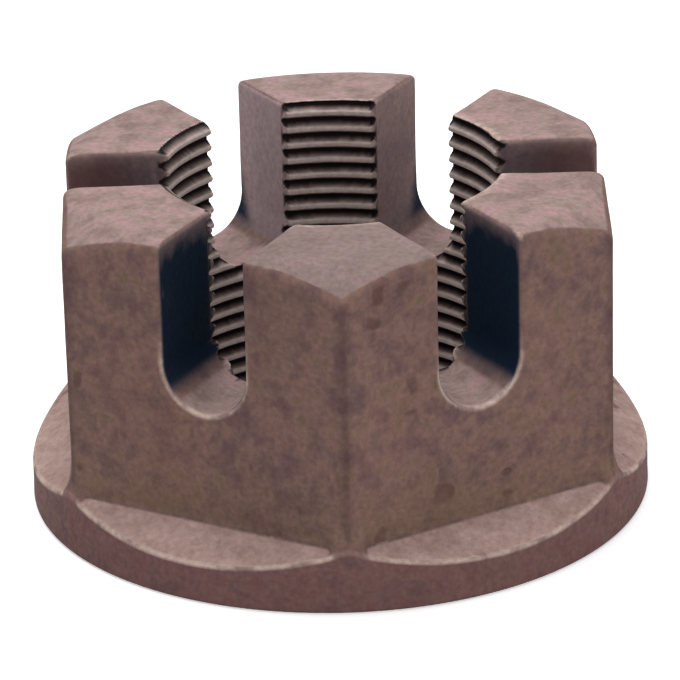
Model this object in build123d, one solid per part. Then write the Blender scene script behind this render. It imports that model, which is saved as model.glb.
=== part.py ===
"""Slotted flange nut (castle nut), 1 3/4 inch - 12 UN, forged in one piece.

The frame's origin is the centre of the bearing face, and +Z runs along the thread towards the
castellated crown. One corner of the hexagon points along -Y, so two of its flats face +X and -X.
All lengths are in millimetres and all angles in degrees.
"""

from build123d import *
import os
from math import cos, radians, sin, tan

INCH = 25.4

# Hexagon
SIDES = 6
ACROSS_FLATS = 2.625 * INCH
TOTAL_HEIGHT = 43.3
HEX_EDGE_RADIUS = 1.0  # the six upright edges, rounded by the forging die

# Flange: a round forged collar with an upright rim and a top that rises to the flats
FLANGE_DIAMETER = 78.0
RIM_HEIGHT = 5.5
FLANGE_TOP_ANGLE = 10.0  # the slope of the collar's conical top
RIM_TOP_RADIUS = 0.5
RIM_FOOT_CHAMFER = 0.5

# Crown: a flat face with a turned cone outside it that takes off the corners
CROWN_FACE_DIAMETER = 66.4
CROWN_ANGLE = 32.0

# Slots for the split pin, one through the middle of each flat, with a round floor
SLOT_WIDTH = 0.4375 * INCH
SLOT_DEPTH = 21.0
SLOT_MOUTH_CHAMFER = 0.3
SLOT_MOUTH_ANGLE = 45.0

# Thread. The bore is plain, at the thread's minor diameter, which is D - 1.0825 P.
THREAD_DIAMETER = 1.75 * INCH
THREADS_PER_INCH = 12
MINOR_DIAMETER_DROP = 1.0825
CROWN_COUNTERSINK = 0.45
FOOT_COUNTERSINK_DIAMETER = 46.8
FOOT_COUNTERSINK_HALF_ANGLE = 60.0

OVERSHOOT = 5.0  # how far a cutter runs past the metal that it cuts

thread_pitch = INCH / THREADS_PER_INCH
bore_radius = (THREAD_DIAMETER - MINOR_DIAMETER_DROP * thread_pitch) / 2
flat_distance = ACROSS_FLATS / 2
corner_radius = flat_distance / cos(radians(180 / SIDES))
flange_radius = FLANGE_DIAMETER / 2


def turned(points):
    """A solid of revolution about the nut's axis, from (radius, height) points."""
    return revolve(Plane.XZ * make_face(Polyline(*points, close=True)), Axis.Z)


def hexagon_body():
    """The upright hexagon with its rounded upright edges, from inside the collar to the crown."""
    outline = RegularPolygon(radius=corner_radius, side_count=SIDES, rotation=-90)
    foot = RIM_HEIGHT / 2
    body = extrude(Pos(0, 0, foot) * outline, amount=TOTAL_HEIGHT - foot)
    return fillet(body.edges().filter_by(Axis.Z), HEX_EDGE_RADIUS)


def flange():
    """The round collar, a shallow cone on top. Its rim is rounded above and chamfered below."""
    apex_height = RIM_HEIGHT + flange_radius * tan(radians(FLANGE_TOP_ANGLE))
    collar = turned(
        [
            (0, 0),
            (flange_radius - RIM_FOOT_CHAMFER, 0),
            (flange_radius, RIM_FOOT_CHAMFER),
            (flange_radius, RIM_HEIGHT),
            (0, apex_height),
        ]
    )
    circles = collar.edges().filter_by(GeomType.CIRCLE)
    rim = circles.filter_by(lambda edge: abs(edge.radius - flange_radius) < 1e-6)
    return fillet(rim.sort_by(Axis.Z)[-1], RIM_TOP_RADIUS)


def crown_envelope():
    """All the space under the crown's flat face and its turned cone."""
    face_radius = CROWN_FACE_DIAMETER / 2
    reach = flange_radius + OVERSHOOT
    cone_height = TOTAL_HEIGHT - (reach - face_radius) * tan(radians(CROWN_ANGLE))
    return turned(
        [
            (0, -OVERSHOOT),
            (reach, -OVERSHOOT),
            (reach, cone_height),
            (face_radius, TOTAL_HEIGHT),
            (0, TOTAL_HEIGHT),
        ]
    )


def bore():
    """The cutter for the bore: plain, with a countersink at each end."""
    crown_radius = bore_radius + CROWN_COUNTERSINK
    foot_radius = FOOT_COUNTERSINK_DIAMETER / 2
    foot_depth = (foot_radius - bore_radius) / tan(radians(FOOT_COUNTERSINK_HALF_ANGLE))
    return turned(
        [
            (0, -OVERSHOOT),
            (foot_radius, -OVERSHOOT),
            (foot_radius, 0),
            (bore_radius, foot_depth),
            (bore_radius, TOTAL_HEIGHT - CROWN_COUNTERSINK),
            (crown_radius, TOTAL_HEIGHT),
            (crown_radius, TOTAL_HEIGHT + OVERSHOOT),
            (0, TOTAL_HEIGHT + OVERSHOOT),
        ]
    )


def slot_outline(plane, margin=0.0):
    """A slot's outline on an upright plane, round at the floor, wider all round by the margin."""
    radius = SLOT_WIDTH / 2 + margin
    centre_height = TOTAL_HEIGHT - SLOT_DEPTH + SLOT_WIDTH / 2
    height = TOTAL_HEIGHT + OVERSHOOT - centre_height
    walls = Rectangle(2 * radius, height, align=(Align.CENTER, Align.MIN))
    return plane * Pos(0, centre_height) * (walls + Circle(radius))


def slot(angle):
    """The cutter for one slot, from the nut's axis out through a flat, with its mouth's chamfer."""
    outward = Vector(cos(radians(angle)), sin(radians(angle)), 0)
    across = Vector(-sin(radians(angle)), cos(radians(angle)), 0)
    at_axis = Plane(origin=(0, 0, 0), x_dir=across, z_dir=outward)
    straight = extrude(slot_outline(at_axis), amount=corner_radius + OVERSHOOT)
    mouth_plane = Plane(origin=outward * flat_distance, x_dir=-across, z_dir=-outward)
    mouth = extrude(
        slot_outline(mouth_plane, margin=SLOT_MOUTH_CHAMFER),
        amount=SLOT_MOUTH_CHAMFER,
        taper=SLOT_MOUTH_ANGLE,
    )
    return straight + mouth


def castle_nut():
    """The whole nut: hexagon and collar in one, crowned, bored and slotted."""
    nut = (hexagon_body() & crown_envelope()) + flange()
    nut -= bore()
    for index in range(SIDES):
        nut -= slot(index * 360 / SIDES)
    return nut.solid()


os.makedirs("parts", exist_ok=True)
export_step(castle_nut(), "parts/castle_nut.step")
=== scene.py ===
"""A forged castle nut with its thread, its worn edges and its brown oxide skin.

The nut is drawn as a distance field: a function that gives, for any point, about how far it lies
outside the metal, in millimetres, and less than 0 inside it. The field's zero surface becomes one
mesh, which stands for the CAD's solid.
"""

from collections import namedtuple
from math import cos, pi, radians, sin, sqrt, tan

import bpy
import numpy as np
from mathutils import Matrix, Vector


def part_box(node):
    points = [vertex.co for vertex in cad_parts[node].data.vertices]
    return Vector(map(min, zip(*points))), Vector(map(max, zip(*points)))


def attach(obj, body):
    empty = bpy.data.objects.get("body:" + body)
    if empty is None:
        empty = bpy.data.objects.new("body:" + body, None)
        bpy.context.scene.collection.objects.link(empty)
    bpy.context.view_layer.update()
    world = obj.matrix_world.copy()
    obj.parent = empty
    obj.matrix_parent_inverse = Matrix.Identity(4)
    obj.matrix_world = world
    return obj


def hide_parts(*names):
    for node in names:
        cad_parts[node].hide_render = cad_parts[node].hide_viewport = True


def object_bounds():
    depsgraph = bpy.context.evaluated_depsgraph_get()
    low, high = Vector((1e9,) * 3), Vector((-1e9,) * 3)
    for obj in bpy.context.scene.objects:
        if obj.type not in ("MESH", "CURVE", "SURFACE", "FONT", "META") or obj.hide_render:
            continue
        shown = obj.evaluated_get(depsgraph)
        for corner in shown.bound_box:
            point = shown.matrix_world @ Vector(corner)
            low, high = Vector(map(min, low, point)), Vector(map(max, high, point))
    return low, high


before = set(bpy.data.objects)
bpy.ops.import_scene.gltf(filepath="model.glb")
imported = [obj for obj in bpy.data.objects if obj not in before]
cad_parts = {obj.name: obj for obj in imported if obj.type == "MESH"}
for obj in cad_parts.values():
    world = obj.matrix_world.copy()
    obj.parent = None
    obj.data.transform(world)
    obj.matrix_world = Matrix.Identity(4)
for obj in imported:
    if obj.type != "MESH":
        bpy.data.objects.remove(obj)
cad_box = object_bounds()

MM = 0.001
INCH = 25.4

# The nut, in millimetres and degrees. The main sizes are the CAD's. The facets and the ribs on the
# collar and most of the roundings are only here.
NODE = "castle_nut"
NUT_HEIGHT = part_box(NODE)[1].z / MM
FLANGE_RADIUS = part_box(NODE)[1].x / MM
ACROSS_FLATS = 2.625 * INCH
FLAT_DISTANCE = ACROSS_FLATS / 2
FLAT_ANGLES = (0, 60, 120)
HALF_SIDE_ANGLE = 30  # from the middle of a flat to the hexagon's corner
HEX_EDGE_RADIUS = 1.0
OBTUSE_SHARE = 0.46  # two planes at 120 degrees need a smaller radius than two at a right angle
FACET_TOP = 8.3  # the height where each flat ends and a facet of the collar starts
FACET_ANGLE = 28.6
RIM_TOP_RADIUS = 0.4
RIM_FOOT_RADIUS = 0.6
FLANGE_ROOT_RADIUS = 0.6
RIB_HALF_WIDTH = 1.8  # a rib under each upright edge parts the facets from each other
RIB_TOP = 8.0  # a rib's height at the collar's rim, from which it rises inwards
RIB_ANGLE = 60.0
RIB_RADIUS = 0.8
CROWN_FACE_RADIUS = 33.2
CROWN_ANGLE = 32.0
CROWN_EDGE_RADIUS = 0.9
SLOT_WIDTH = 0.4375 * INCH
SLOT_DEPTH = 21.0
SLOT_EDGE_RADIUS = 0.8
SLOT_CENTRE = NUT_HEIGHT - SLOT_DEPTH + SLOT_WIDTH / 2

# The thread, 1 3/4 inch - 12 UN, right hand. The middle of its groove crosses +X at height 0.
THREAD_DIAMETER = 1.75 * INCH
THREAD_RADIUS = THREAD_DIAMETER / 2
THREADS_PER_INCH = 12
PITCH = INCH / THREADS_PER_INCH
MINOR_DIAMETER_DROP = 1.0825  # as a share of the pitch
MINOR_RADIUS = THREAD_RADIUS - MINOR_DIAMETER_DROP * PITCH / 2
ROOT_FLAT = PITCH / 8
FLANK_ANGLE = 30.0
CROWN_COUNTERSINK = 0.45
FOOT_COUNTERSINK_RADIUS = 23.4
FOOT_COUNTERSINK_HALF_ANGLE = 60.0
THREAD_EDGE_RADIUS = 0.12

# The mesh
GRID_STEP = 0.25
GRID_MARGIN = 3 * GRID_STEP
TRIANGLE_LIMIT = 190_000
LEAST_SLOPE_SQUARED = 0.2  # keeps a point from a wild step where the field is nearly level

# The forging's unevenness, in millimetres, always inwards from the field's surface
SEED = 183
LATTICE_SIDE = 64  # random values along each side of the noise's lattice
UNEVEN_DEPTH = 0.16
UNEVEN_SIZES = (11.0, 4.0, 1.4)
UNEVEN_WEIGHTS = (1, 1 / 2, 1 / 8)
PIT_DEPTH = 0.2
PIT_WEIGHTS = (0.62, 0.38)  # of the two finer sizes
PIT_LIMITS = (0.78, 0.90)  # the noise levels where a pit starts and where it is at its deepest
PITTED_FLATS = (-1.4, -0.6)  # of the hexagon's field
PITTED_BELOW_CROWN = (0.3, 1.0)
EVEN_BORE = THREAD_RADIUS + 0.5  # the radius as far as which the thread stays even
EVEN_BORE_FADE = 3.0
EVEN_FOOT_FADE = 2.0

# Where each mark on the surface starts and ends, in millimetres unless the line says otherwise
BEND_REACH = 0.5
EDGE_BEND = (0.12, 0.55)
HOLLOW_BEND = (0.35, 1.3)
UPRIGHT = (0.45, 0.80)  # of the upward share of the surface's normal, as in the next three
LEVEL = (0.92, 0.98)
COLLAR_SLOPE = (0.66, 0.84)
CONE_SLOPE = (cos(radians(CROWN_ANGLE)) - 0.12, cos(radians(CROWN_ANGLE)) - 0.02)
LEVEL_TOP = NUT_HEIGHT - 0.5
BORE_SKIN = (0.12, 0.30)
GROOVE_SHADE = (0.24 * PITCH, 0.36 * PITCH)
SLOT_SKIN = (0.10, 0.35)
CASTLE_REACH = (14.0, 20.0)  # how far out the front and back castles start
CASTLE_SIDES = (10.0, 14.0)
SIDE_SLOT = (SLOT_WIDTH - 2.0, SLOT_WIDTH)
STAIN_AND_SHADE_DEPTHS = (-0.05, 0.12)  # shares of the slot's depth
BACK_STAIN_AND_SHADE_DROPS = (0.75, 0.95)  # what they grow by on the back castle
SIDE_STAIN_AND_SHADE_LOSS = (0.4, 1.0)  # the share of the stain and painted shade that the side slots lose, inside and outside
SIDE_STAIN_AND_SHADE_RADII = (26.0, 33.0)
SMEAR_AND_SHADE_RADII = (22.0, 30.0)
WALL_STRENGTHS = (0.4, 1.0)  # on most walls, and on the left of the back castle, where the extra paleness is a painted highlight
LIT_WALL_LEFT = (0.0, 6.0)
MOUTH_HEIGHTS = (SLOT_CENTRE - 1, SLOT_CENTRE + 4)
MOUTH_BURR_AND_HIGHLIGHT = (0.3, 0.8)
COLLAR_TOP = FACET_TOP + 1
EDGE_FOOT = FACET_TOP + 2
FOOT_HEIGHTS = (FACET_TOP + 1, FACET_TOP + 8)
FLAT_SKIN = (-1.6, -0.6)  # of the hexagon's field
RIM_SKIN = (FLANGE_RADIUS - 0.6, FLANGE_RADIUS - 0.2)
RIB_SKIN = (0.1, 0.6)
RIM_BURR_AND_HIGHLIGHT = (0.20, 0.55)
RIB_BURR_AND_HIGHLIGHT = 0.2  # what is left of the rim's burr and painted highlight on a rib
DARK_LINE_WIDTH = (0.15, 0.80)
DARK_LINE_BELOW_CROWN = (0.1, 0.8)

# The finish's noises, each as its scale per millimetre, its detail and its roughness
NOISES = {
    "broad": (0.07, 2.0, 0.55),
    "patches": (0.33, 3.0, 0.55),
    "grain": (1.3, 4.0, 0.65),
    "specks": (3.1, 2.0, 0.60),
}

# Runs of colour along a noise: its level and then red, green and blue out of 255
OXIDE = ((0.33, (107, 82, 83)), (0.45, (118, 93, 88)), (0.55, (130, 102, 94)), (0.66, (121, 98, 86)))
BARE_STEEL = ((0.36, (176, 144, 144)), (0.50, (159, 139, 133)), (0.62, (144, 122, 119)))
GRAIN_TONE = ((0.30, (222, 218, 218)), (0.70, (255, 255, 255)))

# The finish's layers, the lowest first. Each follows a mark and has one colour, or a run of colours
# along the patches. Its strength is one number, or two that it has at a noise's two levels.
EVERYWHERE = "everywhere"
Layer = namedtuple("Layer", "mark colour strength noise levels", defaults=(None, None))
LAYERS_UNDER_GRAIN = (
    Layer(EVERYWHERE, (140, 107, 94), (0.0, 0.35), "broad", (0.52, 0.72)),  # rust
    Layer("foot", (132, 108, 90), (0.1, 0.55), "broad", (0.35, 0.60)),
    Layer("crown", BARE_STEEL, 0.8),
    # painted shade: the front castle's turned crown is darkened, as it looks when turned away from the light
    Layer("front_crown_shade", (130, 114, 110), 0.7),
    # a darker line along the hexagon's upright edges
    Layer("dark_upright_line", (74, 54, 55), 0.45),
    # partly a paler skin, partly a painted highlight on the collar's upward faces
    Layer("collar", (188, 160, 152), (0.95, 0.6), "patches", (0.36, 0.62)),
    Layer("rim", (118, 85, 84), (0.3, 1.0), "patches", (0.38, 0.60)),
    # pale slot walls; on the back castle's left walls the extra paleness is a painted highlight
    Layer("wall", (184, 160, 162), 0.95),
    # partly worn edges, partly a painted highlight along the rounded edges
    Layer("edge", (190, 168, 158), (0.35, 0.95), "grain", (0.35, 0.65)),
    # partly pale burrs, partly a painted highlight along the rim and the slots' mouths
    Layer("burr_and_highlight", (214, 192, 180), (0.3, 0.9), "patches", (0.38, 0.58)),
    Layer("crest", (196, 180, 174), 0.85),
    # painted shade in the hollows and creases
    Layer("hollow", (70, 52, 47), 0.35),
)
LAYERS_OVER_GRAIN = (
    Layer(EVERYWHERE, (62, 47, 46), (0.6, 0.0), "specks", (0.22, 0.30)),
    Layer("pit", (92, 62, 56), 0.4),
    # partly a dark navy scale, partly painted shade that deepens towards the slots' foot
    Layer("stain_and_depth_shade", (7, 26, 44), 1.0),
    # partly a brown smear, partly painted shade deep in the two side slots
    Layer("smear_and_depth_shade", (70, 42, 42), 0.8),
    # painted shade in the thread's groove
    Layer("groove", (26, 19, 22), 1.0),
)
ROUGHNESS = (0.82, 0.62)
ROUGHNESS_GRAIN = (0.3, 0.7)  # the grain's levels at which the roughness is those
SPECK_HEIGHT = 0.4  # as a share of the grain's
BUMP_STRENGTH = 0.2
BUMP_DISTANCE = 0.10 * MM
SPECULAR_LEVEL = 0.12

# The studio, in metres and watts
WHITE = (1.0, 1.0, 1.0, 1.0)
FLOOR_SIZE = 6.0
FLOOR_COLOUR = (0.8, 0.8, 0.8, 1.0)
FLOOR_GLOW = 0.45  # what the camera sees on top of the floor's own colour
WORLD_LIGHT = 0.55
Lamp = namedtuple("Lamp", "name place size power")
LAMPS = (
    Lamp("overhead", (-0.06, 0.10, 0.61), 0.45, 3.4),
    Lamp("front_fill", (0.58, -0.64, 0.30), 0.60, 1.6),
)

# The camera
CAMERA_TARGET = Vector((0.344, 0.0, 19.2)) * MM
CAMERA_DISTANCE = 604.9 * MM
CAMERA_AZIMUTH = -1.0
CAMERA_ELEVATION = 22.96
CAMERA_ROLL = -1.5
CAMERA_LENS = 254.75
SENSOR_WIDTH = 36.0


def soft_step(value, low, high):
    """0 below low, 1 above high, and a smooth rise between."""
    share = np.clip((value - low) / (high - low), 0, 1)
    return share * share * (3 - 2 * share)


def soft_fall(value, low, high):
    """1 below low, 0 above high, and a smooth fall between."""
    return 1 - soft_step(value, low, high)


def rounded_both(a, b, radius):
    """The field of what lies inside both fields, with the edge between them rounded."""
    beyond = np.hypot(np.maximum(a + radius, 0), np.maximum(b + radius, 0))
    return np.minimum(np.maximum(a, b), -radius) + beyond


def rounded_either(a, b, radius):
    """The field of what lies inside either field, with the corner between them filled."""
    return -rounded_both(-a, -b, radius)


def sloped(out, up, angle):
    """The field under a slope that falls outwards at the angle, through where out and up are 0."""
    return out * sin(radians(angle)) + up * cos(radians(angle))


def without(a, b, radius):
    """The field of a after b is cut from it."""
    return rounded_both(a, -b, radius)


def hexagon_field(x, y):
    """The six flats, with rounded upright edges."""
    radius = OBTUSE_SHARE * HEX_EDGE_RADIUS
    field = None
    for angle in FLAT_ANGLES:
        reach = np.abs(x * cos(radians(angle)) + y * sin(radians(angle))) - FLAT_DISTANCE
        field = reach if field is None else rounded_both(field, reach, radius)
    return field


def crown_field(r, z):
    """The turned cone that takes off the hexagon's corners, and the flat face inside it."""
    cone = sloped(r - CROWN_FACE_RADIUS, z - NUT_HEIGHT, CROWN_ANGLE)
    return rounded_both(cone, z - NUT_HEIGHT, CROWN_EDGE_RADIUS)


def facets_field(x, y, z):
    """The space under the six facets that slope down from the flats."""
    return sloped(hexagon_field(x, y), z - FACET_TOP, FACET_ANGLE)


def flange_field(x, y, r, z):
    """The round collar, with the six facets on top."""
    return rounded_both(r - FLANGE_RADIUS, facets_field(x, y, z), RIM_TOP_RADIUS)


def ribs_across(x, y):
    """The ribs' width: the space between two upright planes on each side of a corner."""
    field = None
    for angle in FLAT_ANGLES:
        turn = radians(angle + HALF_SIDE_ANGLE)
        reach = np.abs(y * cos(turn) - x * sin(turn)) - RIB_HALF_WIDTH
        field = reach if field is None else np.minimum(field, reach)
    return field


def ribs_field(x, y, r, z):
    """The ribs under the upright edges, which slope out to the collar's rim."""
    top = sloped(r - FLANGE_RADIUS, z - RIB_TOP, RIB_ANGLE)
    outer = rounded_both(r - FLANGE_RADIUS, top, RIM_TOP_RADIUS)
    return rounded_both(ribs_across(x, y), outer, RIB_RADIUS)


def slots_field(x, y, z):
    """Three slots right across the nut, which make the six in its crown."""
    field = None
    for angle in FLAT_ANGLES:
        across = np.abs(y * cos(radians(angle)) - x * sin(radians(angle)))
        reach = np.hypot(across, np.minimum(z - SLOT_CENTRE, 0)) - SLOT_WIDTH / 2
        field = reach if field is None else np.minimum(field, reach)
    return field


def from_groove(x, y, z):
    """How far along the axis a point is from the middle of the nearest turn of the groove."""
    turn = z / PITCH - np.arctan2(y, x) / (2 * pi)
    return np.abs(turn - np.round(turn)) * PITCH


def thread_field(x, y, r, z):
    """The bore with the thread's helical groove."""
    flank = sloped(r - THREAD_RADIUS, from_groove(x, y, z) - ROOT_FLAT / 2, FLANK_ANGLE)
    groove = np.maximum(flank, r - THREAD_RADIUS)
    return rounded_either(r - MINOR_RADIUS, groove, THREAD_EDGE_RADIUS)


def countersinks_field(r, z):
    """The cones that open the bore at the foot and, at 45 degrees, at the crown."""
    half_angle = radians(FOOT_COUNTERSINK_HALF_ANGLE)
    foot = ((r - FOOT_COUNTERSINK_RADIUS) + z * tan(half_angle)) * cos(half_angle)
    crown = ((r - MINOR_RADIUS - CROWN_COUNTERSINK) + (NUT_HEIGHT - z)) * sqrt(0.5)
    return np.minimum(foot, crown)


def nut_field(x, y, z):
    """The whole nut."""
    r = np.hypot(x, y)
    body = rounded_both(hexagon_field(x, y), crown_field(r, z), CROWN_EDGE_RADIUS)
    body = rounded_either(body, flange_field(x, y, r, z), FLANGE_ROOT_RADIUS)
    body = rounded_either(body, ribs_field(x, y, r, z), RIB_RADIUS)
    body = np.maximum(body, r - FLANGE_RADIUS)
    body = rounded_both(body, -z, RIM_FOOT_RADIUS)
    body = without(body, slots_field(x, y, z), SLOT_EDGE_RADIUS)
    bore = np.minimum(thread_field(x, y, r, z), countersinks_field(r, z))
    return without(body, bore, THREAD_EDGE_RADIUS)


def lattice_noise(points, size, seed):
    """Smooth noise from 0 to 1, from random values on a lattice of that size."""
    values = np.random.default_rng(seed).random((LATTICE_SIDE, LATTICE_SIDE, LATTICE_SIDE))
    place = points / size + LATTICE_SIDE / 2
    low = np.floor(place).astype(int)
    share = soft_step(place - low, 0, 1)
    total = np.zeros(len(points))
    for corner in np.ndindex(2, 2, 2):
        weight = np.prod(np.where(corner, share, 1 - share), axis=1)
        at = (low + corner) % LATTICE_SIDE
        total += weight * values[at[:, 0], at[:, 1], at[:, 2]]
    return total


def uneven_and_pits(points):
    """The forging's waviness and its pits at each point, both from 0 to 1.

    The crown and the slots are machined, so the pits are only on the flats and the collar.
    """
    layers = [lattice_noise(points, size, SEED + number) for number, size in enumerate(UNEVEN_SIZES)]
    uneven = sum(weight * layer for weight, layer in zip(UNEVEN_WEIGHTS, layers)) / sum(UNEVEN_WEIGHTS)
    pits = sum(weight * layer for weight, layer in zip(PIT_WEIGHTS, layers[1:]))
    x, y, z = points.T
    forged = soft_step(hexagon_field(x, y), *PITTED_FLATS)
    below_crown = soft_step(-crown_field(np.hypot(x, y), z), *PITTED_BELOW_CROWN)
    return uneven, soft_step(pits, *PIT_LIMITS) * forged * below_crown


def worn_field(points):
    """The nut's field at each point, with the waviness and the pits in its outer skin."""
    field = nut_field(*points.T)
    outer = np.clip((np.hypot(points[:, 0], points[:, 1]) - EVEN_BORE) / EVEN_BORE_FADE, 0, 1)
    above_foot = np.clip(points[:, 2] / EVEN_FOOT_FADE, 0, 1)
    uneven, pits = uneven_and_pits(points)
    return field + outer * above_foot * (UNEVEN_DEPTH * uneven + PIT_DEPTH * pits)


def gradient(points, reach=0.03):
    """How fast the worn field grows along each axis, which on the surface is along its normal."""
    slopes = []
    for axis in np.eye(3) * reach:
        slopes.append(worn_field(points + axis) - worn_field(points - axis))
    return np.stack(slopes, axis=1) / (2 * reach)


def sampled_field():
    """The field on a grid that holds the nut, with the grid's three rulers."""
    side = np.arange(-FLANGE_RADIUS - GRID_MARGIN, FLANGE_RADIUS + GRID_MARGIN, GRID_STEP)
    height = np.arange(-GRID_MARGIN, NUT_HEIGHT + GRID_MARGIN, GRID_STEP)
    x, y = np.meshgrid(side, side, indexing="ij")
    layers = [nut_field(x, y, np.full_like(x, z)).astype(np.float32) for z in height]
    return np.stack(layers, axis=2), (side, side, height)


def crossing_points(field, cells):
    """For each cell, the mean of the points where the field changes sign along its edges."""
    total = np.zeros((len(cells), 3))
    count = np.zeros(len(cells))
    for axis in range(3):
        others = [other for other in range(3) if other != axis]
        for offset in np.ndindex(2, 2):
            start = np.zeros(3, int)
            start[others] = offset
            end = start.copy()
            end[axis] = 1
            low = field[tuple((cells + start).T)]
            high = field[tuple((cells + end).T)]
            crossed = (low < 0) != (high < 0)
            share = np.where(crossed, low / np.where(crossed, low - high, 1), 0)
            point = start + share[:, None] * (end - start)
            total += point * crossed[:, None]
            count += crossed
    return cells + total / count[:, None]


def surface_mesh():
    """Points and four-sided faces of the field's zero surface, one point to a crossed cell."""
    field, rulers = sampled_field()
    inside = field < 0
    corners = np.zeros(np.array(field.shape) - 1, np.uint8)
    for corner in np.ndindex(2, 2, 2):
        window = tuple(slice(c, c + n) for c, n in zip(corner, corners.shape))
        corners += inside[window]
    crossed = (corners > 0) & (corners < 8)
    cells = np.argwhere(crossed)
    number = np.full(crossed.shape, -1, np.int32)
    number[crossed] = np.arange(len(cells))
    points = crossing_points(field, cells) * GRID_STEP + [ruler[0] for ruler in rulers]
    faces = []
    for axis in range(3):
        before, after = (axis + 1) % 3, (axis + 2) % 3
        low = np.take(inside, range(field.shape[axis] - 1), axis)
        high = np.take(inside, range(1, field.shape[axis]), axis)
        edges = np.argwhere(low != high)
        leaving = low[tuple(edges.T)]
        ring = []
        for step in ((1, 1), (0, 1), (0, 0), (1, 0)):
            cell = edges.copy()
            cell[:, before] -= step[0]
            cell[:, after] -= step[1]
            ring.append(number[tuple(cell.T)])
        ring = np.stack(ring, axis=1)
        ring[~leaving] = ring[~leaving][:, ::-1]
        faces.append(ring)
    return points, np.concatenate(faces)


def settle(points, rounds=4):
    """Moves the points onto the worn surface along its normals."""
    for _ in range(rounds):
        slopes = gradient(points)
        steep = np.maximum((slopes ** 2).sum(axis=1), LEAST_SLOPE_SQUARED)
        move = slopes * (worn_field(points) / steep)[:, None]
        points = points - np.clip(move, -GRID_STEP, GRID_STEP)
    return points


def keep_in_box(points):
    """The points, with those outside the CAD's box moved onto its sides."""
    low = np.array(cad_box[0]) / MM
    high = np.array(cad_box[1]) / MM
    return np.clip(points, low, high)


def mesh_object(name, points, faces):
    """A new object from points in millimetres."""
    mesh = bpy.data.meshes.new(name)
    mesh.from_pydata(points * MM, [], faces)
    obj = bpy.data.objects.new(name, mesh)
    bpy.context.collection.objects.link(obj)
    return obj


def decimated(obj):
    """The object, its four-sided faces brought down to the limit of triangles."""
    triangles = 2 * len(obj.data.polygons)
    modifier = obj.modifiers.new("decimate", "DECIMATE")
    modifier.ratio = min(1.0, TRIANGLE_LIMIT / triangles)
    modifier.use_collapse_triangulate = True
    graph = bpy.context.evaluated_depsgraph_get()
    mesh = bpy.data.meshes.new_from_object(obj.evaluated_get(graph))
    obj.modifiers.clear()
    obj.data = mesh
    return obj


def bend_of(points):
    """How the surface turns at each point: above 0 on an edge, and below 0 in a hollow."""
    bend = np.zeros(len(points))
    for axis in np.eye(3) * BEND_REACH:
        bend += nut_field(*(points + axis).T) + nut_field(*(points - axis).T)
    return bend


def slot_marks(x, y, z, upright, in_bore):
    """The slots' pale walls with their stains and smears, and the burrs round their mouths. The stains and
    smears are partly a dark scale and partly painted shade that deepens towards the slots' foot, the burrs
    are partly painted highlights, and the back castle's left walls are painted paler as a painted highlight.
    """
    r = np.hypot(x, y)
    skin = soft_fall(np.abs(slots_field(x, y, z)), *SLOT_SKIN) * (z > NUT_HEIGHT - SLOT_DEPTH)
    wall = skin * upright * (1 - in_bore)
    back = soft_step(y, *CASTLE_REACH) * soft_fall(np.abs(x), *CASTLE_SIDES)
    start, full = (depth + drop * back for depth, drop in zip(STAIN_AND_SHADE_DEPTHS, BACK_STAIN_AND_SHADE_DROPS))
    # painted shade and the navy scale, both growing with the depth in the slot
    stain_and_depth_shade = soft_step((NUT_HEIGHT - z) / SLOT_DEPTH, start, full)
    side_slot = soft_fall(np.abs(y), *SIDE_SLOT)
    inside, outside = SIDE_STAIN_AND_SHADE_LOSS
    loss = side_slot * (inside + (outside - inside) * soft_step(r, *SIDE_STAIN_AND_SHADE_RADII))
    plain, palest_where_lit = WALL_STRENGTHS
    from_mouth_edge = np.hypot(hexagon_field(x, y), slots_field(x, y, z))
    return {
        # painted highlight: the back castle's left walls are painted paler, as if lit from that side
        "wall": wall * (plain + (palest_where_lit - plain) * back * soft_step(-x, *LIT_WALL_LEFT)),
        "stain_and_depth_shade": wall * stain_and_depth_shade * (1 - loss),
        "smear_and_depth_shade": wall * stain_and_depth_shade * side_slot * soft_step(r, *SMEAR_AND_SHADE_RADII),
        # partly a burr, partly a painted highlight round the slots' mouths
        "burr_and_highlight": soft_fall(z, *MOUTH_HEIGHTS) * soft_fall(from_mouth_edge, *MOUTH_BURR_AND_HIGHLIGHT),
    }


def collar_marks(x, y, z, upward, upright):
    """The collar's pale top, which is partly a painted highlight on its upward faces, its rim, its ribs, and
    the rusty foot of the flats above it.
    """
    r = np.hypot(x, y)
    low = z < COLLAR_TOP
    foot = soft_fall(z, *FOOT_HEIGHTS) * (z > FACET_TOP)
    return {
        # partly a painted highlight on the upward faces of the collar
        "collar": low * soft_step(upward, *COLLAR_SLOPE),
        "rim": low * soft_step(r, *RIM_SKIN) * upright,
        "rib": low * soft_fall(ribs_field(x, y, r, z), *RIB_SKIN),
        "foot": foot * upright * soft_step(hexagon_field(x, y), *FLAT_SKIN),
    }


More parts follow.
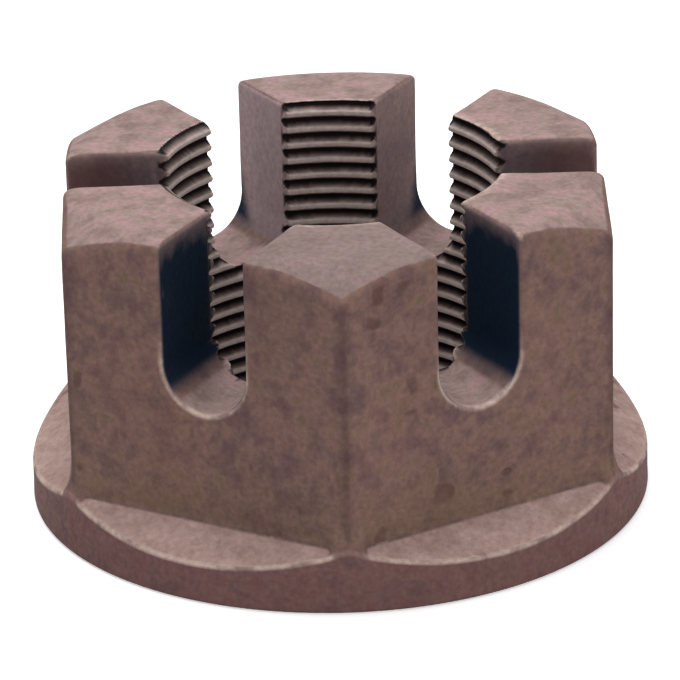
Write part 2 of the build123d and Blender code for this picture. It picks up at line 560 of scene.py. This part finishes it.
def finish_marks(points, normals):
    """What the material needs to know about each point, from 0 to 1."""
    x, y, z = points.T
    r = np.hypot(x, y)
    upward = normals[:, 2]
    upright = soft_fall(np.abs(upward), *UPRIGHT)
    on_top = soft_step(upward, *LEVEL) * (z > LEVEL_TOP)
    in_bore = soft_fall(np.abs(thread_field(x, y, r, z)), *BORE_SKIN) * (1 - on_top)
    groove = soft_fall(from_groove(x, y, z), *GROOVE_SHADE)
    bend = bend_of(points)
    turned = soft_step(upward, *CONE_SLOPE) * (z > NUT_HEIGHT / 2)
    front = soft_step(-y, *CASTLE_REACH) * soft_fall(np.abs(x), *CASTLE_SIDES)
    # darker along the hexagon's upright edges
    dark_upright_line = soft_fall(ribs_across(x, y) + RIB_HALF_WIDTH, *DARK_LINE_WIDTH)
    return {
        # partly wear, partly a painted highlight on the convex edges
        "edge": soft_step(bend, *EDGE_BEND) * (1 - in_bore) * (z > EDGE_FOOT),
        # painted shade where the surface is hollow
        "hollow": soft_step(-bend, *HOLLOW_BEND) * (1 - in_bore),
        "pit": uneven_and_pits(points)[1] * (1 - in_bore),
        "crown": turned * (1 - in_bore),
        # painted shade darkens the front castle's turned crown
        "front_crown_shade": turned * front,
        "dark_upright_line": dark_upright_line * (z > COLLAR_TOP) * soft_step(-crown_field(r, z), *DARK_LINE_BELOW_CROWN),
        # painted shade in the thread's groove
        "groove": in_bore * groove,
        "crest": in_bore * (1 - groove),
        **slot_marks(x, y, z, upright, in_bore),
        **collar_marks(x, y, z, upward, upright),
    }


def srgb(*levels):
    """A linear colour from red, green and blue levels out of 255."""
    linear = []
    for level in levels:
        share = level / 255
        linear.append(share / 12.92 if share <= 0.04045 else ((share + 0.055) / 1.055) ** 2.4)
    return (*linear, 1.0)


class Nodes:
    """The node tree of a material or a world, with short calls to add to it."""

    def __init__(self, owner):
        owner.use_nodes = True
        self.tree = owner.node_tree
        self.tree.nodes.clear()

    def add(self, kind, inputs=None, **settings):
        """A new node. An input given as a socket is linked, and any other is set."""
        node = self.tree.nodes.new(kind)
        for key, value in settings.items():
            setattr(node, key, value)
        for key, value in (inputs or {}).items():
            if isinstance(value, bpy.types.NodeSocket):
                self.tree.links.new(value, node.inputs[key])
            else:
                node.inputs[key].default_value = value
        return node

    def attribute(self, name):
        """The mesh's value of that name."""
        return self.add("ShaderNodeAttribute", attribute_name=name).outputs["Fac"]

    def noise(self, place, scale, detail, roughness):
        """Noise from about 0 to 1."""
        inputs = {"Vector": place, "Scale": scale, "Detail": detail, "Roughness": roughness}
        return self.add("ShaderNodeTexNoise", inputs).outputs["Fac"]

    def ramp(self, share, *stops):
        """The colour at that share of a run of stops, each a position and a colour's levels."""
        node = self.add("ShaderNodeValToRGB", {"Fac": share})
        elements = node.color_ramp.elements
        while len(elements) < len(stops):
            elements.new(0.5)
        for element, (position, colour) in zip(elements, stops):
            element.position = position
            element.color = srgb(*colour)
        return node.outputs["Color"]

    def spread(self, value, low, high, to_low, to_high):
        """The value carried from one range to another, and held at its ends."""
        inputs = {"Value": value, "From Min": low, "From Max": high, "To Min": to_low, "To Max": to_high}
        return self.add("ShaderNodeMapRange", inputs).outputs["Result"]

    def maths(self, operation, first, second):
        """The result of a sum with two values."""
        return self.add("ShaderNodeMath", {0: first, 1: second}, operation=operation).outputs[0]

    def mix(self, share, first, second, blend="MIX"):
        """The first colour with that share of the second over it."""
        node = self.add("ShaderNodeMix", {0: share, 6: first, 7: second}, data_type="RGBA", blend_type=blend)
        return node.outputs[2]


def from_rim_edge(nodes, place):
    """How far a point, in millimetres, is from the edge where the facets meet the collar's rim."""
    reach = None
    for angle in FLAT_ANGLES:
        outward = (cos(radians(angle)), sin(radians(angle)), 0.0)
        along = nodes.add("ShaderNodeVectorMath", {0: place, 1: outward}, operation="DOT_PRODUCT")
        along = nodes.maths("ABSOLUTE", along.outputs["Value"], 0.0)
        reach = along if reach is None else nodes.maths("MAXIMUM", reach, along)
    slope = radians(FACET_ANGLE)
    axes = nodes.add("ShaderNodeSeparateXYZ", {0: place}).outputs
    above = nodes.maths("SUBTRACT", nodes.maths("MULTIPLY", reach, sin(slope)), FLAT_DISTANCE * sin(slope))
    lift = nodes.maths("MULTIPLY", nodes.maths("SUBTRACT", axes["Z"], FACET_TOP), cos(slope))
    above = nodes.maths("ADD", above, lift)
    flat = nodes.add("ShaderNodeCombineXYZ", {0: axes["X"], 1: axes["Y"]}).outputs[0]
    outside = nodes.add("ShaderNodeVectorMath", {0: flat}, operation="LENGTH").outputs["Value"]
    outside = nodes.maths("SUBTRACT", outside, FLANGE_RADIUS)
    both = nodes.add("ShaderNodeCombineXYZ", {0: above, 1: outside}).outputs[0]
    return nodes.add("ShaderNodeVectorMath", {0: both}, operation="LENGTH").outputs["Value"]


def painted(nodes, skin, layers, noises, shares):
    """The skin's colour with the layers over it. A mark not among the shares is the mesh's own."""
    for layer in layers:
        share = shares[layer.mark] if layer.mark in shares else nodes.attribute(layer.mark)
        strength = layer.strength
        if layer.noise:
            strength = nodes.spread(noises[layer.noise], *layer.levels, *layer.strength)
        is_run = isinstance(layer.colour[0], tuple)
        colour = nodes.ramp(noises["patches"], *layer.colour) if is_run else srgb(*layer.colour)
        skin = nodes.mix(nodes.maths("MULTIPLY", share, strength), skin, colour)
    return skin


def forged_steel():
    """Brown oxide over forged steel: mottled, rusty in places, pale where it is rubbed, with painted shade
    in the slots, hollows, thread and on the front crown, and painted highlights on the edges, burrs and
    collar.
    """
    material = bpy.data.materials.new("forged_steel")
    nodes = Nodes(material)
    place = nodes.add("ShaderNodeTexCoord").outputs["Object"]
    place = nodes.add("ShaderNodeVectorMath", {0: place, "Scale": 1 / MM}, operation="SCALE").outputs[0]
    noises = {name: nodes.noise(place, *settings) for name, settings in NOISES.items()}

    # partly a burr, partly a painted highlight along the rim's edge
    rim_burr_and_highlight = nodes.spread(from_rim_edge(nodes, place), *RIM_BURR_AND_HIGHLIGHT, 1.0, 0.0)
    rib = nodes.spread(nodes.attribute("rib"), 0.0, 1.0, 1.0, RIB_BURR_AND_HIGHLIGHT)
    burr_and_highlight = nodes.maths("MAXIMUM", nodes.maths("MULTIPLY", rim_burr_and_highlight, rib), nodes.attribute("burr_and_highlight"))
    shares = {EVERYWHERE: 1.0, "burr_and_highlight": burr_and_highlight}
    skin = nodes.ramp(noises["patches"], *OXIDE)
    skin = painted(nodes, skin, LAYERS_UNDER_GRAIN, noises, shares)
    skin = nodes.mix(1.0, skin, nodes.ramp(noises["grain"], *GRAIN_TONE), "MULTIPLY")
    skin = painted(nodes, skin, LAYERS_OVER_GRAIN, noises, shares)

    rough = nodes.spread(noises["grain"], *ROUGHNESS_GRAIN, *ROUGHNESS)
    height = nodes.maths("ADD", noises["grain"], nodes.maths("MULTIPLY", noises["specks"], SPECK_HEIGHT))
    bump_inputs = {"Height": height, "Strength": BUMP_STRENGTH, "Distance": BUMP_DISTANCE}
    bump = nodes.add("ShaderNodeBump", bump_inputs).outputs["Normal"]
    shader = nodes.add("ShaderNodeBsdfPrincipled", {"Base Color": skin, "Roughness": rough, "Normal": bump})
    shader.inputs["Specular IOR Level"].default_value = SPECULAR_LEVEL
    nodes.add("ShaderNodeOutputMaterial", {"Surface": shader.outputs[0]})
    return material


def make_nut():
    """Adds the dressed nut, one mesh that stands for the CAD's node."""
    points, faces = surface_mesh()
    nut = decimated(mesh_object("forged_nut", settle(points), faces))
    mesh = nut.data
    points = np.empty(len(mesh.vertices) * 3, np.float32)
    mesh.vertices.foreach_get("co", points)
    points = keep_in_box(settle(points.reshape(-1, 3).astype(float) / MM, rounds=2))
    mesh.vertices.foreach_set("co", (points * MM).astype(np.float32).ravel())
    normals = gradient(points)
    normals /= np.linalg.norm(normals, axis=1, keepdims=True)
    for name, values in finish_marks(points, normals).items():
        attribute = mesh.attributes.new(name, "FLOAT", "POINT")
        attribute.data.foreach_set("value", values.astype(np.float32))
    mesh.shade_smooth()
    mesh.normals_split_custom_set_from_vertices([tuple(normal) for normal in normals])
    mesh.materials.append(forged_steel())
    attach(nut, "root")
    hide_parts(NODE)


def make_floor():
    """Adds a plain white floor that keeps the nut's shadow."""
    bpy.ops.mesh.primitive_plane_add(size=FLOOR_SIZE)
    floor = bpy.context.object
    floor.name = "floor"
    material = bpy.data.materials.new("white_floor")
    nodes = Nodes(material)
    diffuse = nodes.add("ShaderNodeBsdfDiffuse", {"Color": FLOOR_COLOUR})
    camera_ray = nodes.add("ShaderNodeLightPath").outputs["Is Camera Ray"]
    glow = nodes.maths("MULTIPLY", camera_ray, FLOOR_GLOW)
    glow = nodes.add("ShaderNodeEmission", {"Strength": glow})
    both = nodes.add("ShaderNodeAddShader", {0: diffuse.outputs[0], 1: glow.outputs[0]})
    nodes.add("ShaderNodeOutputMaterial", {"Surface": both.outputs[0]})
    floor.data.materials.append(material)


def make_world():
    """Adds a world that is white to the camera, and a soft grey light to everything else."""
    world = bpy.data.worlds.new("studio")
    bpy.context.scene.world = world
    nodes = Nodes(world)
    path = nodes.add("ShaderNodeLightPath")
    seen = nodes.maths("MAXIMUM", path.outputs["Is Camera Ray"], path.outputs["Is Transmission Ray"])
    strength = nodes.spread(seen, 0.0, 1.0, WORLD_LIGHT, 1.0)
    sky = nodes.add("ShaderNodeBackground", {"Color": WHITE, "Strength": strength})
    nodes.add("ShaderNodeOutputWorld", {"Surface": sky.outputs[0]})


def add_area_light(name, place, size, power):
    """Adds a square lamp that is turned to the nut's middle."""
    light = bpy.data.lights.new(name, "AREA")
    light.size = size
    light.energy = power
    lamp = bpy.data.objects.new(name, light)
    bpy.context.collection.objects.link(lamp)
    lamp.location = place
    middle = Vector((0.0, 0.0, NUT_HEIGHT * MM / 2))
    lamp.rotation_euler = (middle - Vector(place)).to_track_quat("-Z", "Y").to_euler()


def make_camera():
    """Adds the photograph's view: a long lens from a little above the nut, rolled very slightly."""
    azimuth, elevation = radians(CAMERA_AZIMUTH), radians(CAMERA_ELEVATION)
    back = Vector((sin(azimuth) * cos(elevation), -cos(azimuth) * cos(elevation), sin(elevation)))
    level = Vector((cos(azimuth), sin(azimuth), 0.0))
    upward = back.cross(level)
    roll = radians(CAMERA_ROLL)
    right = level * cos(roll) + upward * sin(roll)
    up = upward * cos(roll) - level * sin(roll)
    camera = bpy.data.objects.new("camera", bpy.data.cameras.new("camera"))
    bpy.context.collection.objects.link(camera)
    camera.data.sensor_width = SENSOR_WIDTH
    camera.data.lens = CAMERA_LENS
    turn = Matrix((right, up, back)).transposed().to_4x4()
    camera.matrix_world = Matrix.Translation(CAMERA_TARGET + back * CAMERA_DISTANCE) @ turn
    bpy.context.scene.camera = camera


make_nut()
make_floor()
make_world()
for lamp in LAMPS:
    add_area_light(*lamp)
make_camera()
bpy.context.scene.view_settings.view_transform = "Standard"
